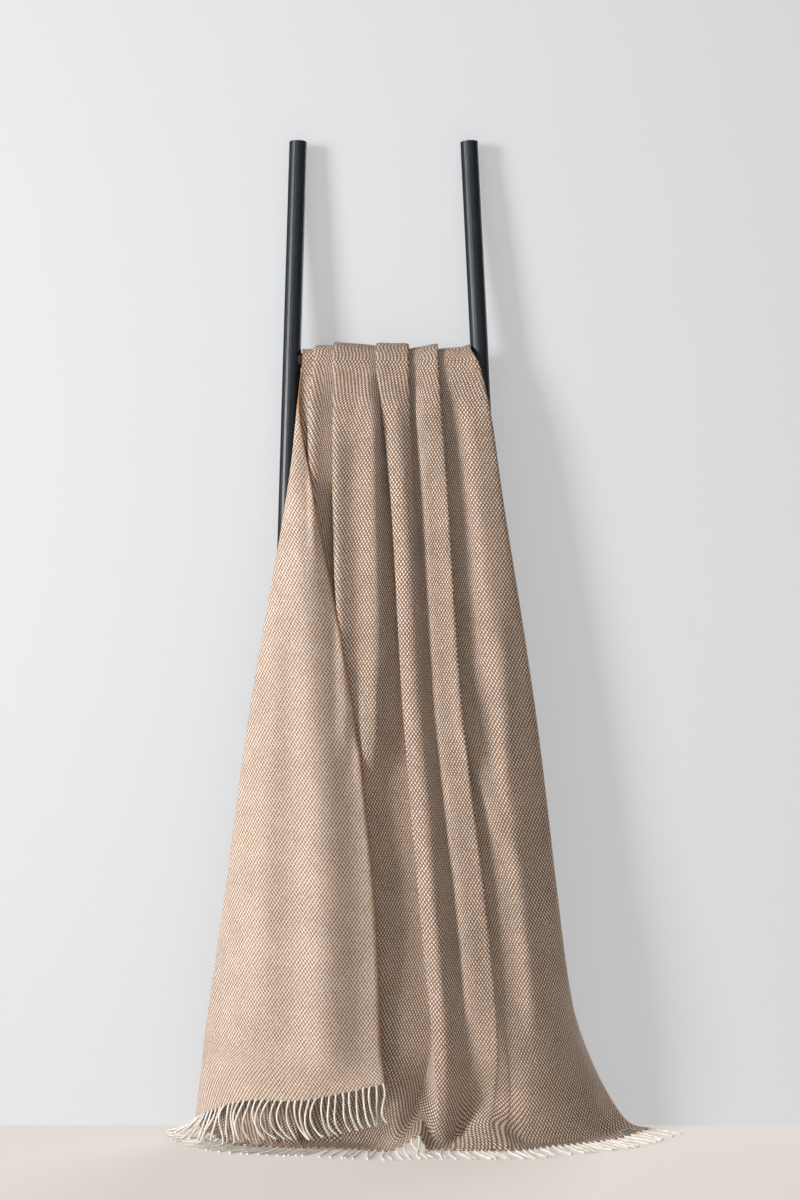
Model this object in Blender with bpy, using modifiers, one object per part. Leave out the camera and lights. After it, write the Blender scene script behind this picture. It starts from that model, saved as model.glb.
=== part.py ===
"""A lambswool throw, gathered over the top rung of a leaning ladder and falling to the floor.

Metres, +Z up, +X to the right of someone who faces the ladder. The wall that the ladder leans on is
not part of the object. The tables below are in millimetres: x from the middle of the view, and
`out`, the distance out from the wall. Each row of DRAPE is one fold of the cloth, followed from the
rung to the floor.
"""

import math
from dataclasses import dataclass

import bmesh
import bpy
import numpy as np
from mathutils import Vector

MM = 0.001

# The ladder
RAIL_RADIUS = 19.0
RAIL_TOP_Z = 2058.0
RAIL_TOP_OUT = 22.0
RAIL_FOOT_OUT = 170.0
LEFT_RAIL_X = (-266.8, -212.2)
RIGHT_RAIL_X = (240.7, 145.1)
RUNG_RADIUS = 15.5
TOP_RUNG_Z = 1600.0
RUNG_STEP = 400.0
RUNG_COUNT = 4
RUNG_GAP = 0.36
ROUND_SIDES = 24
EDGE_BEVEL = 1.5

# The throw
WIDTH = 1450.0
LENGTH = 2000.0
THICKNESS = 2.0
RUNG_EASE = 4.0
FLOOR_LIFT = THICKNESS / 2 + 0.3
LAYER_GAP = 3.4
CLOTH_BETWEEN_RAILS = (-202.0, 143.5)
TAIL_DROP = 900.0
TAIL_SPREAD = 1.10
TAIL_LOOSENESS = 2.2

# The fringe and the label
FRINGE_LENGTH = 80.0
FRINGE_GAP = 1.8
FRINGE_HEADING = 5.0
LEAST_SQUARE = 0.08
TASSEL_COUNT = 42
TASSEL_SHARE = 0.62
FRINGE_THICKNESS = 1.1
LABEL_SIZE = (52.0, 17.0)
LABEL_THICKNESS = 0.8
LABEL_GAP = 0.6
LABEL_FROM_CORNER = (36.0, 8.0)

# How finely the curves are followed: samples of each stretch, tail first
TAIL_SAMPLES = 12
TAIL_ROWS = 3
EASING_PASSES = 24
RING_STEPS = (1, 1, 1, 1)
FRONT_STEPS = (2, 2, 4, 4, 3, 2, 1, 2)
WARP_THREADS = 60
CLOSEST_BEND = 0.15
TURN_BIAS = 0.9
LABEL_CELLS = (4, 2)

STATIONS = ("rung", "collar", "chest", "waist", "thigh", "knee", "ankle", "toe", "hem")
HEIGHTS = {"rung": 1600, "collar": 1500, "chest": 1310, "waist": 880, "thigh": 500, "knee": 200, "ankle": 60}
TURN_OUTWARD = 1
TURN_BACK = -1


@dataclass(frozen=True)
class Fold:
    """One fold line of the cloth: (x, out) or (x, out, z) at each station from the rung to the hem.

    turn says which way the cloth travels where it doubles back on itself, and is 0 on an open stretch.
    tip is where the fringe below the line ends. Where the stretch after the line is inside a pleat, tucked
    is 1: such stretches share whatever of the cloth's width the open faces leave.
    """

    name: str
    rung: tuple
    collar: tuple
    chest: tuple
    waist: tuple
    thigh: tuple
    knee: tuple
    hem: tuple
    tip: tuple
    ankle: tuple = None
    toe: tuple = None
    turn: int = 0
    tucked: float = 0.0
    steps: int = 2

    def path(self):
        """The line's points, with the ankle and toe shared out evenly where the hem hangs free."""
        points = {}
        for name in STATIONS:
            spot = getattr(self, name)
            if spot is not None:
                points[name] = np.array([*spot, HEIGHTS[name]][:3] if len(spot) == 2 else spot, float)
        if self.ankle is None:
            points["ankle"] = (2 * points["knee"] + points["hem"]) / 3
            points["toe"] = (points["knee"] + 2 * points["hem"]) / 3
        points["rung"][1] += RUNG_EASE
        return np.array([points[name] for name in STATIONS])


DRAPE = (
    Fold("free_selvage", rung=(-202, 74), collar=(-208, 93), chest=(-175, 122), waist=(-94, 166),
         thigh=(-50, 203), knee=(-36, 232), hem=(-27, 260, 139), tip=(-20, 264, 60)),
    Fold("lapel_right", rung=(-198, 74), collar=(-211, 91), chest=(-194, 128), waist=(-150, 172),
         thigh=(-120, 214), knee=(-113, 242), hem=(-110, 262, 121), tip=(-98, 268, 43)),
    Fold("lapel_ridge", rung=(-194, 74), collar=(-212, 88), chest=(-214, 128), waist=(-195, 178),
         thigh=(-191, 216), knee=(-190, 245), hem=(-192, 265, 106), tip=(-172, 274, 29)),
    Fold("lapel_left", rung=(-190, 74), collar=(-211, 86), chest=(-227, 121), waist=(-262, 160),
         thigh=(-290, 185), knee=(-310, 205), hem=(-312, 232, 99), tip=(-300, 244, 22)),
    Fold("left_fold_front", rung=(-186, 74), collar=(-208, 84), chest=(-233, 112), waist=(-306, 129),
         thigh=(-357, 127), knee=(-400, 118), hem=(-404, 145, 52), tip=(-446, 130, 4), steps=1),
    Fold("left_fold_back", rung=(-181, 74), collar=(-203, 84), chest=(-230, 103), waist=(-303, 116),
         thigh=(-354, 110), knee=(-397, 100), hem=(-420, 100, 30), tip=(-490, 70, 3)),
    Fold("over_left_rail", rung=(-176, 74), collar=(-196, 85), chest=(-214, 103), waist=(-264, 131),
         thigh=(-302, 152), knee=(-340, 158), ankle=(-352, 144), toe=(-354, 150, 7), hem=(-346, 182, 2),
         tip=(-400, 236, 3)),
    Fold("beside_left_rail", rung=(-170, 73), collar=(-186, 85), chest=(-195, 101), waist=(-236, 133),
         thigh=(-255, 160), knee=(-262, 183), ankle=(-266, 195), toe=(-260, 200, 7), hem=(-254, 214, 2),
         tip=(-296, 282, 3), tucked=0.5),
    Fold("gather_right", rung=(-96, 72.8), collar=(-100, 84), chest=(-112, 98), waist=(-152, 128),
         thigh=(-212, 159), knee=(-240, 178), ankle=(-240, 186), toe=(-234, 192, 6), hem=(-227, 217, 2),
         tip=(-266, 286, 3), turn=TURN_OUTWARD, tucked=0.5),
    Fold("gather_left", rung=(-177, 78.2), collar=(-186, 90), chest=(-192, 108), waist=(-218, 139),
         thigh=(-226, 168), knee=(-213, 188), ankle=(-214, 184), toe=(-208, 188, 6), hem=(-200, 220, 2),
         tip=(-235, 290, 3), turn=TURN_OUTWARD),
    Fold("first_face", rung=(-152, 82), collar=(-163, 93), chest=(-170, 111), waist=(-188, 141),
         thigh=(-188, 170), knee=(-187, 180), ankle=(-186, 164), toe=(-182, 172, 6), hem=(-172, 222, 2),
         tip=(-204, 295, 3), tucked=0.5),
    Fold("first_tuck", rung=(-67, 78.8), collar=(-68, 89), chest=(-74, 105), waist=(-86, 137),
         thigh=(-108, 172), knee=(-130, 182), ankle=(-146, 156), toe=(-143, 166, 6), hem=(-140, 226, 2),
         tip=(-168, 300, 3), turn=TURN_OUTWARD, tucked=1),
    Fold("second_edge", rung=(-137, 86), collar=(-137, 100), chest=(-137, 123), waist=(-124, 156),
         thigh=(-112, 190), knee=(-112, 196), ankle=(-116, 160), toe=(-115, 170, 6), hem=(-112, 230, 2),
         tip=(-136, 306, 3), turn=TURN_OUTWARD),
    Fold("second_crown", rung=(-108, 86.5), collar=(-110, 104), chest=(-110, 128), waist=(-86, 160),
         thigh=(-80, 195), knee=(-74, 202), ankle=(-74, 174), toe=(-74, 184, 6), hem=(-74, 238, 2),
         tip=(-92, 315, 3)),
    Fold("second_fall", rung=(-62, 82.5), collar=(-60, 97), chest=(-58, 119), waist=(-46, 143),
         thigh=(-38, 166), knee=(-8, 206), ankle=(-6, 224), toe=(-14, 238, 14), hem=(-18, 248, 2),
         tip=(-14, 316, 3), tucked=0.5),
    Fold("second_tuck", rung=(-14, 75), collar=(-8, 88), chest=(-2, 97), waist=(-14, 130),
         thigh=(-4, 156), knee=(30, 178), ankle=(34, 194, 78), toe=(42, 212, 56), hem=(38, 245, 29),
         tip=(44, 292, 5), turn=TURN_OUTWARD, tucked=1),
    Fold("third_edge", rung=(-49, 84), collar=(-37, 102), chest=(-18, 124), waist=(7, 156),
         thigh=(40, 195), knee=(68, 221), ankle=(74, 224), toe=(64, 222, 18), hem=(54, 234, 2),
         tip=(64, 308, 3), turn=TURN_OUTWARD),
    Fold("third_crown", rung=(-16, 86), collar=(-8, 106), chest=(3, 130), waist=(25, 163),
         thigh=(60, 202), knee=(88, 226), ankle=(92, 222), toe=(86, 222, 14), hem=(78, 238, 2),
         tip=(92, 314, 3)),
    Fold("third_edge_right", rung=(17, 83), collar=(19, 101), chest=(24, 124), waist=(45, 155),
         thigh=(80, 193), knee=(108, 216), ankle=(112, 204), toe=(106, 210, 14), hem=(98, 241, 2),
         tip=(116, 316, 3), turn=TURN_BACK, tucked=1),
    Fold("third_tuck", rung=(3, 76), collar=(14, 87), chest=(34, 102), waist=(66, 132),
         thigh=(106, 172), knee=(134, 198), ankle=(136, 182, 78), toe=(126, 200, 24), hem=(118, 243, 2),
         tip=(138, 318, 3), turn=TURN_BACK, tucked=0.5),
    Fold("fourth_face", rung=(45, 79), collar=(50, 93), chest=(66, 106), waist=(94, 140),
         thigh=(136, 181), knee=(162, 204), ankle=(162, 178, 84), toe=(150, 204, 42), hem=(146, 245, 2),
         tip=(168, 320, 3)),
    Fold("fourth_edge", rung=(77, 83), collar=(84, 102), chest=(97, 124), waist=(125, 157),
         thigh=(170, 191), knee=(196, 212), ankle=(190, 186, 80), toe=(182, 210, 50), hem=(184, 246, 2),
         tip=(210, 320, 3), turn=TURN_BACK, tucked=1),
    Fold("fourth_tuck", rung=(30, 72), collar=(44, 85), chest=(74, 99), waist=(112, 134),
         thigh=(168, 174), knee=(214, 204), ankle=(222, 188, 74), toe=(214, 212, 38), hem=(218, 246, 2),
         tip=(246, 318, 3), turn=TURN_BACK, tucked=0.5),
    Fold("fifth_face", rung=(98, 76), collar=(118, 89), chest=(146, 106), waist=(176, 138),
         thigh=(226, 174), knee=(252, 194), ankle=(250, 196), toe=(244, 212, 16), hem=(246, 240, 2),
         tip=(276, 310, 3)),
    Fold("over_right_rail", rung=(130, 79), collar=(156, 91), chest=(180, 107), waist=(220, 136),
         thigh=(262, 162), knee=(290, 178), ankle=(290, 186), toe=(290, 204, 9), hem=(292, 214, 2),
         tip=(318, 284, 3)),
    Fold("right_fold_front", rung=(158, 83), collar=(183, 94), chest=(210, 106), waist=(275, 121),
         thigh=(320, 124), knee=(346, 128), ankle=(348, 156), toe=(354, 174, 8), hem=(360, 186, 2),
         tip=(394, 252, 3), steps=1),
    Fold("right_fold_back", rung=(158, 79), collar=(183, 89), chest=(210, 98), waist=(275, 106),
         thigh=(320, 102), knee=(368, 86), ankle=(404, 110), toe=(418, 130, 8), hem=(434, 146, 2),
         tip=(486, 204, 3), tucked=1),
    Fold("right_selvage", rung=(112, 74), collar=(156, 87), chest=(184, 101), waist=(262, 82),
         thigh=(308, 62), knee=(376, 44), ankle=(441, 42), toe=(480, 42, 12), hem=(523, 42, 2),
         tip=(603, 92, 3)),
)

# Colour, roughness and metallic value of each finish
FINISHES = {
    "lambswool": ((0.50, 0.36, 0.26, 1), 0.95, 0.0),
    "cream_yarn": ((0.86, 0.82, 0.75, 1), 0.95, 0.0),
    "label_tape": ((0.78, 0.72, 0.62, 1), 0.80, 0.0),
    "black_paint": ((0.018, 0.022, 0.028, 1), 0.45, 0.0),
}


def clear_scene():
    for obj in list(bpy.data.objects):
        bpy.data.objects.remove(obj, do_unlink=True)


def finish(name):
    material = bpy.data.materials.new(name)
    colour, roughness, metallic = FINISHES[name]
    material.use_nodes = True
    shader = material.node_tree.nodes["Principled BSDF"]
    shader.inputs["Base Color"].default_value = colour
    shader.inputs["Roughness"].default_value = roughness
    shader.inputs["Metallic"].default_value = metallic
    material.diffuse_color = colour
    return material


def in_metres(points):
    """Turns (x, out, z) in millimetres into the model's metres, with the wall behind, at +Y."""
    return np.asarray(points, float) * (MM, -MM, MM)


def through(points, steps):
    """A smooth curve through points (n, ..., 3), as steps[i] samples of each stretch and the last point.

    It is the centripetal Catmull-Rom curve, which makes no loops where points come close together.
    """
    points = np.asarray(points, float)
    ends = np.concatenate([2 * points[:1] - points[1:2], points, 2 * points[-1:] - points[-2:-1]])
    span = np.sqrt(np.maximum(np.linalg.norm(np.diff(ends, axis=0), axis=-1), 1e-6))
    found = []
    for i, count in enumerate(steps):
        before, start, end, after = ends[i : i + 4]
        knots = [np.zeros_like(span[i])]
        for k in range(3):
            knots.append(knots[-1] + span[i + k])
        t0, t1, t2, t3 = (knot[..., None] for knot in knots)
        for share in np.arange(count) / count:
            t = t1 + (t2 - t1) * share
            a1 = ((t1 - t) * before + (t - t0) * start) / (t1 - t0)
            a2 = ((t2 - t) * start + (t - t1) * end) / (t2 - t1)
            a3 = ((t3 - t) * end + (t - t2) * after) / (t3 - t2)
            b1 = ((t2 - t) * a1 + (t - t0) * a2) / (t2 - t0)
            b2 = ((t3 - t) * a2 + (t - t1) * a3) / (t3 - t1)
            found.append(((t2 - t) * b1 + (t - t1) * b2) / (t2 - t1))
    found.append(points[-1])
    return np.array(found)


def unit(vectors):
    return vectors / np.linalg.norm(vectors, axis=-1, keepdims=True)


def axis_out(z):
    """How far out from the wall the ladder's plane is at height z."""
    return RAIL_FOOT_OUT + (RAIL_TOP_OUT - RAIL_FOOT_OUT) * z / RAIL_TOP_Z


def rail_x(rail, z):
    return rail[0] + (rail[1] - rail[0]) * z / RAIL_TOP_Z


def fold_lines(last):
    """Every fold line from the rung to "hem", or from the hem to "tip", doubled where the cloth turns back.

    The steps and the tucked shares of the stretches between the lines come with them.
    """
    paths = [fold.path() for fold in DRAPE]
    if last == "tip":
        paths = [(path[-1], fold.tip) for path, fold in zip(paths, DRAPE, strict=True)]
    paths = np.array(paths, float)
    lines, steps, tucked = [], [], []
    for k, fold in enumerate(DRAPE):
        steps.append(fold.steps)
        tucked.append(fold.tucked)
        if not fold.turn:
            lines.append(paths[k])
            continue
        into = paths[k] - paths[k - 1]
        out_of = paths[k + 1] - paths[k]
        travel = unit(into) + unit(out_of) + (0, TURN_BIAS * fold.turn, 0)
        travel = unit(travel) * LAYER_GAP / 2
        lines += [paths[k] - travel, paths[k] + travel]
        steps[-1:] = [1, fold.steps]
        tucked[-1:] = [0, fold.tucked]
    return np.array(lines), steps[:-1], tucked[:-1]


def around_rung(front):
    """The stations that carry each line over the rung and down behind it, from the tail's end."""
    rung_out = axis_out(TOP_RUNG_Z)
    reach = front[:, 1] - rung_out
    clipped = np.clip(front[:, 0], *CLOTH_BETWEEN_RAILS)
    stations = []
    for degrees in (180, 135, 90, 45):
        angle = math.radians(degrees)
        stations.append(
            np.stack(
                [clipped, rung_out + reach * math.cos(angle), TOP_RUNG_Z + reach * math.sin(angle)], axis=1
            )
        )
    middle = sum(CLOTH_BETWEEN_RAILS) / 2
    tail = stations[0].copy()
    tail[:, 0] = middle + (tail[:, 0] - middle) * TAIL_SPREAD
    tail[:, 1] = rung_out - reach.min() - (reach - reach.min()) * TAIL_LOOSENESS
    tail[:, 2] = TOP_RUNG_Z - TAIL_DROP
    near = stations[0] * 0.75 + tail * 0.25
    return [tail, near, *stations]


def drape(row_steps):
    """The cloth's middle surface, and how far across the cloth each of its points is.

    The surface is a grid (rows, columns, 3). Rows run from behind the rung to the front hem, and columns
    from the free selvage to the right selvage. row_steps gives the samples of each stretch between
    stations, the tail's two first.
    """
    lines, steps, tucked = fold_lines("hem")
    stations = around_rung(lines[:, 0]) + [lines[:, j] for j in range(len(STATIONS))]
    grid = through(through(np.array(stations), row_steps).transpose(1, 0, 2), steps)
    grid[..., 2] = np.maximum(grid[..., 2], FLOOR_LIFT)
    gaps = np.linalg.norm(np.diff(grid, axis=0), axis=2)
    slack = gaps * np.repeat(tucked, steps)[:, None]
    gaps = gaps + slack * (WIDTH - gaps.sum(axis=0)) / slack.sum(axis=0)
    across = np.concatenate([np.zeros_like(gaps[:1]), np.cumsum(gaps, axis=0)])
    return grid.transpose(1, 0, 2), across.T


def lengths(points):
    """How far along each line of points (n, ..., 3) its points are."""
    gaps = np.linalg.norm(np.diff(points, axis=0), axis=-1)
    return np.concatenate([np.zeros_like(gaps[:1]), np.cumsum(gaps, axis=0)])


def at_index(line, index):
    """The points at these fractional indices into a line (n, 3)."""
    return np.stack([np.interp(index, np.arange(len(line)), line[:, k]) for k in range(3)], axis=1)


def warp_lengths(body, across):
    """The length of each column's warp from the front hem to behind the rung.

    A warp thread keeps its distance from the selvage and so crosses the fold lines, which the columns
    follow, so its length is measured along the rows' points at that distance.
    """
    marks = np.linspace(0, WIDTH, WARP_THREADS)
    threads = []
    for row, distances in zip(body, across, strict=True):
        threads.append(at_index(row, np.interp(marks, distances, np.arange(len(row)))))
    return np.interp(across[0], marks, lengths(np.array(threads))[-1])


def evened(values):
    """The values with the steps between pleat layers eased, as the loose end of a tail hangs."""
    for _ in range(EASING_PASSES):
        padded = np.concatenate([values[:1], values, values[-1:]])
        values = (padded[:-2] + padded[1:-1] + padded[2:]) / 3
    return values


def throw_grid():
    """The throw's middle surface, its tail cut so that each warp thread is LENGTH long."""
    grid, across = drape([TAIL_SAMPLES, 1, *RING_STEPS, *FRONT_STEPS])
    behind = TAIL_SAMPLES + 1
    body, hanging = grid[behind:], grid[: behind + 1][::-1]
    left_over = evened(LENGTH - warp_lengths(body, across[behind:]))
    columns = []
    for c, reach in enumerate(left_over):
        at = lengths(hanging[:, c])
        wanted = np.linspace(reach, 0, TAIL_ROWS + 1)[:-1]
        columns.append(at_index(hanging[:, c], np.interp(wanted, at, np.arange(len(at)))))
    return np.concatenate([np.stack(columns, axis=1), body])


def grid_mesh(name, grid, keep=None):
    """A mesh of the grid's quads, without those that keep (rows - 1, columns - 1) leaves out."""
    rows, columns = grid.shape[:2]
    mesh = bmesh.new()
    used = {}

    def corner(r, c):
        if (r, c) not in used:
            used[r, c] = mesh.verts.new(in_metres(grid[r, c]))
        return used[r, c]

    for r in range(rows - 1):
        for c in range(columns - 1):
            if keep is None or keep[r, c]:
                mesh.faces.new([corner(r, c), corner(r + 1, c), corner(r + 1, c + 1), corner(r, c + 1)])
    data = bpy.data.meshes.new(name)
    mesh.to_mesh(data)
    mesh.free()
    return data


def sheet(name, grid, thickness, material, keep=None):
    """A closed sheet of this thickness about the grid."""
    obj = bpy.data.objects.new(name, grid_mesh(name, grid, keep))
    solid = obj.modifiers.new("thickness", "SOLIDIFY")
    solid.thickness = thickness * MM
    solid.offset = 0
    solid.use_rim = True
    obj.data.materials.append(material)
    obj.data.shade_smooth()
    return obj


def comb(name, grid, tips, material):
    """The fringe below the grid's first row, as one comb: a heading along the cloth and its tassels."""
    edge, way = grid[0], unit(grid[0] - grid[1])
    at = lengths(edge)
    pitch = at[-1] / TASSEL_COUNT
    margin = (1 - TASSEL_SHARE) / 2
    marks = [(i + side) * pitch for i in range(TASSEL_COUNT) for side in (margin, 1 - margin)]
    marks = np.interp(marks, at, np.arange(len(edge)))
    marks = np.where(np.abs(marks - np.round(marks)) < CLOSEST_BEND, np.round(marks), marks)
    index = np.unique(np.concatenate([marks, np.arange(len(edge), dtype=float)]))
    middles = np.interp((index[1:] + index[:-1]) / 2, np.arange(len(edge)), at) / pitch % 1
    square = np.linalg.norm(np.cross(unit(np.diff(edge, axis=0)), way[1:]), axis=1)
    square = np.maximum(np.minimum(np.append(square, 1), np.insert(square, 0, 1)), LEAST_SQUARE)
    clear = FRINGE_GAP / np.interp(index, np.arange(len(edge)), square)[:, None]
    start, way = at_index(edge, index), unit(at_index(way, index))
    rows = np.array([start + way * clear, start + way * (clear + FRINGE_HEADING), at_index(tips, index)])
    rows[..., 2] = np.maximum(rows[..., 2], FRINGE_THICKNESS / 2 + FRINGE_GAP)
    keep = np.ones((len(rows) - 1, len(index) - 1), bool)
    keep[1:] = (middles > margin) & (middles < 1 - margin)
    return sheet(name, rows, FRINGE_THICKNESS, material, keep)


def make_front_fringe(grid, material):
    """The comb below the front hem, whose tassels hang from the lapel and lie on the floor elsewhere."""
    lines, steps, _ = fold_lines("tip")
    return comb("fringe_front", grid[::-1], through(lines, steps)[:, 1], material)


def make_back_fringe(grid, material):
    """The comb below the tail, hanging straight on from it."""
    tips = grid[0] + unit(grid[0] - grid[1]) * FRINGE_LENGTH
    return comb("fringe_back", grid, tips, material)


def make_label(grid, material):
    """The woven label, just above the cloth near its right-hand front corner."""
    front = grid[::-1]
    hem = lengths(front[0])
    across = hem[-1] - LABEL_FROM_CORNER[0] - np.linspace(LABEL_SIZE[0], 0, LABEL_CELLS[0] + 1)
    column = np.interp(across, hem, np.arange(len(hem)))
    warps = np.stack([at_index(row, column) for row in front])
    distances = LABEL_FROM_CORNER[1] + np.linspace(LABEL_SIZE[1], 0, LABEL_CELLS[1] + 1)
    patch = []
    for c in range(len(column)):
        at = lengths(warps[:, c])
        patch.append(at_index(warps[:, c], np.interp(distances, at, np.arange(len(at)))))
    patch = np.stack(patch, axis=1)
    patch[..., 2] += THICKNESS / 2 + LABEL_GAP + LABEL_THICKNESS / 2
    return sheet("label", patch, LABEL_THICKNESS, material)


def round_bar(name, start, end, radius, extra=0.0):
    """A round bar between two points (x, out, z), longer by extra at its start."""
    start, end = in_metres(start), in_metres(end)
    way = (end - start) / np.linalg.norm(end - start)
    start = start - way * extra * MM
    mesh = bmesh.new()
    bmesh.ops.create_cone(
        mesh,
        cap_ends=True,
        segments=ROUND_SIDES,
        radius1=radius * MM,
        radius2=radius * MM,
        depth=float(np.linalg.norm(end - start)),
    )
    data = bpy.data.meshes.new(name)
    mesh.to_mesh(data)
    mesh.free()
    obj = bpy.data.objects.new(name, data)
    obj.rotation_mode = "QUATERNION"
    obj.rotation_quaternion = Vector(way).to_track_quat("Z", "Y")
    obj.location = (start + end) / 2
    return obj


def rail_ends(rail):
    return (rail[0], RAIL_FOOT_OUT, 0), (rail[1], RAIL_TOP_OUT, RAIL_TOP_Z)


def make_rail(name, rail, material):
    """A round rail with a bevelled flat top, its foot cut level where it stands on the floor."""
    obj = round_bar(name, *rail_ends(rail), RAIL_RADIUS, extra=RAIL_RADIUS)
    bpy.context.view_layer.update()
    matrix = obj.matrix_basis.copy()
    obj.matrix_basis.identity()
    mesh = bmesh.new()
    mesh.from_mesh(obj.data)
    mesh.transform(matrix)
    top = max(mesh.faces, key=lambda face: face.calc_center_median().z)
    bmesh.ops.bevel(mesh, geom=list(top.edges), offset=EDGE_BEVEL * MM, segments=2, affect="EDGES", profile=0.5)
    everything = [*mesh.verts, *mesh.edges, *mesh.faces]
    cut = bmesh.ops.bisect_plane(
        mesh, geom=everything, plane_co=(0, 0, 0), plane_no=(0, 0, 1), clear_inner=True
    )
    rim = [item for item in cut["geom_cut"] if isinstance(item, bmesh.types.BMEdge)]
    bmesh.ops.contextual_create(mesh, geom=rim)
    bmesh.ops.recalc_face_normals(mesh, faces=mesh.faces)
    mesh.to_mesh(obj.data)
    mesh.free()
    obj.data.materials.append(material)
    obj.data.shade_smooth()
    obj.data.set_sharp_from_angle(angle=math.radians(40))
    return obj


def make_rung(name, z, cutters, material):
    """A round rung between the rails, its ends hollowed to sit against them."""
    out = axis_out(z)
    obj = round_bar(
        name, (rail_x(LEFT_RAIL_X, z), out, z), (rail_x(RIGHT_RAIL_X, z), out, z), RUNG_RADIUS
    )
    for cutter in cutters:
        fit = obj.modifiers.new("fit_" + cutter.name, "BOOLEAN")
        fit.operation = "DIFFERENCE"
        fit.object = cutter
    obj.data.materials.append(material)
    obj.data.shade_smooth()
    obj.data.set_sharp_from_angle(angle=math.radians(40))
    return obj


def make_ladder(material, helpers):
    rails = {"left": LEFT_RAIL_X, "right": RIGHT_RAIL_X}
    made, cutters = [], []
    for side, rail in rails.items():
        made.append(make_rail(f"rail_{side}", rail, material))
        cutter = round_bar(f"cutter_{side}", *rail_ends(rail), RAIL_RADIUS + RUNG_GAP, extra=RAIL_RADIUS)
        cutter.hide_render = True
        cutter.display_type = "WIRE"
        helpers.objects.link(cutter)
        cutters.append(cutter)
    for i in range(RUNG_COUNT):
        made.append(make_rung(f"rung_{i + 1}", TOP_RUNG_Z - i * RUNG_STEP, cutters, material))
    return made


def centre_footprint(objects, root):
    """Moves the root so that the origin is on the floor, below the middle of the whole object's box."""
    bpy.context.view_layer.update()
    graph = bpy.context.evaluated_depsgraph_get()
    corners = np.array(
        [
            obj.matrix_world @ Vector(corner)
            for obj in objects
            for corner in obj.evaluated_get(graph).bound_box
        ]
    )
    middle = (corners.min(axis=0) + corners.max(axis=0)) / 2
    root.location = (-middle[0], -middle[1], 0)


def main():
    clear_scene()
    bpy.context.scene.unit_settings.system = "METRIC"
    materials = {name: finish(name) for name in FINISHES}
    collection = bpy.data.collections.new("throw_on_ladder")
    helpers = bpy.data.collections.new("cutters")
    for group in (collection, helpers):
        bpy.context.scene.collection.children.link(group)
    root = bpy.data.objects.new("throw_on_ladder_root", None)
    collection.objects.link(root)
    grid = throw_grid()
    parts = [
        sheet("throw", grid, THICKNESS, materials["lambswool"]),
        make_front_fringe(grid, materials["cream_yarn"]),
        make_back_fringe(grid, materials["cream_yarn"]),
        make_label(grid, materials["label_tape"]),
        *make_ladder(materials["black_paint"], helpers),
    ]
    for obj in parts:
        collection.objects.link(obj)
    centre_footprint(parts, root)
    for obj in [*parts, *helpers.objects]:
        obj.parent = root


main()
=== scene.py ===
"""The looks of a lambswool throw gathered over the top rung of a leaning ladder.

Lengths in the tables are in millimetres: x to the right of the camera, out from the wall that the
ladder leans on, and z up from the floor. Place turns them into metres in the model's frame.
"""

from __future__ import annotations

import logging
import math
from dataclasses import dataclass, field
from enum import Enum
from typing import Any, Sequence

import bmesh
import bpy
import numpy as np
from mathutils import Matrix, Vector

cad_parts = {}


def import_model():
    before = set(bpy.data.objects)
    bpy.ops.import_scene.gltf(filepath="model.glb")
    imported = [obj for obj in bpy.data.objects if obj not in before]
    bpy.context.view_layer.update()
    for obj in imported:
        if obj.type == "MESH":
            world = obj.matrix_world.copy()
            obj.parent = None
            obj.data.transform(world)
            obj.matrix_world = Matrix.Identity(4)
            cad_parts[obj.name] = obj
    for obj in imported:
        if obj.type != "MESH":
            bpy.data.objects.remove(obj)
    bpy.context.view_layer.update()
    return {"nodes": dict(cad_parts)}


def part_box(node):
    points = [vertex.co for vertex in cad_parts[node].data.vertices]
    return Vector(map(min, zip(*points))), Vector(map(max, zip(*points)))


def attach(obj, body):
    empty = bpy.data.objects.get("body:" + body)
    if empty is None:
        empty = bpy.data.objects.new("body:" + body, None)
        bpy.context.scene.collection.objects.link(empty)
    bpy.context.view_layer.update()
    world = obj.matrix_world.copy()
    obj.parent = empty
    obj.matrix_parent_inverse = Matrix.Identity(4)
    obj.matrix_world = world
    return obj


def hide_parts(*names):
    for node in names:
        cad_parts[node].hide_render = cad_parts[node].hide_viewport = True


LOG = logging.getLogger("throw")
MM = 0.001
TAU = 2 * math.pi
ROOT = "root"

Colour = tuple[float, float, float]


# ------------------------------------------------------------------- node trees


class Value:
    """What an output socket gives; arithmetic on it adds Math nodes."""

    def __init__(self, graph: Nodes, socket: bpy.types.NodeSocket) -> None:
        """Wraps an output socket of the graph."""
        self.graph, self.socket = graph, socket

    def math(self, operation: str, *others: Any) -> Value:
        """The result of a Math operation on this value and the others."""
        return self.graph.calculate(operation, self, *others)

    def __add__(self, other: Any) -> Value:
        """This plus other."""
        return self.math("ADD", other)

    def __sub__(self, other: Any) -> Value:
        """This minus other."""
        return self.math("SUBTRACT", other)

    def __mul__(self, other: Any) -> Value:
        """This times other."""
        return self.math("MULTIPLY", other)

    def __rsub__(self, other: Any) -> Value:
        """Other minus this."""
        return self.graph.calculate("SUBTRACT", other, self)

    __radd__ = __add__
    __rmul__ = __mul__

    def wave(self) -> Value:
        """The cosine of this angle."""
        return self.math("COSINE")

    def step(self, low: float, high: float) -> Value:
        """0 below low and 1 above high, with a smooth rise between."""
        settings = {"interpolation_type": "SMOOTHSTEP"}
        inputs = {"Value": self, "From Min": low, "From Max": high}
        return self.graph.node("ShaderNodeMapRange", settings, inputs)


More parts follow.
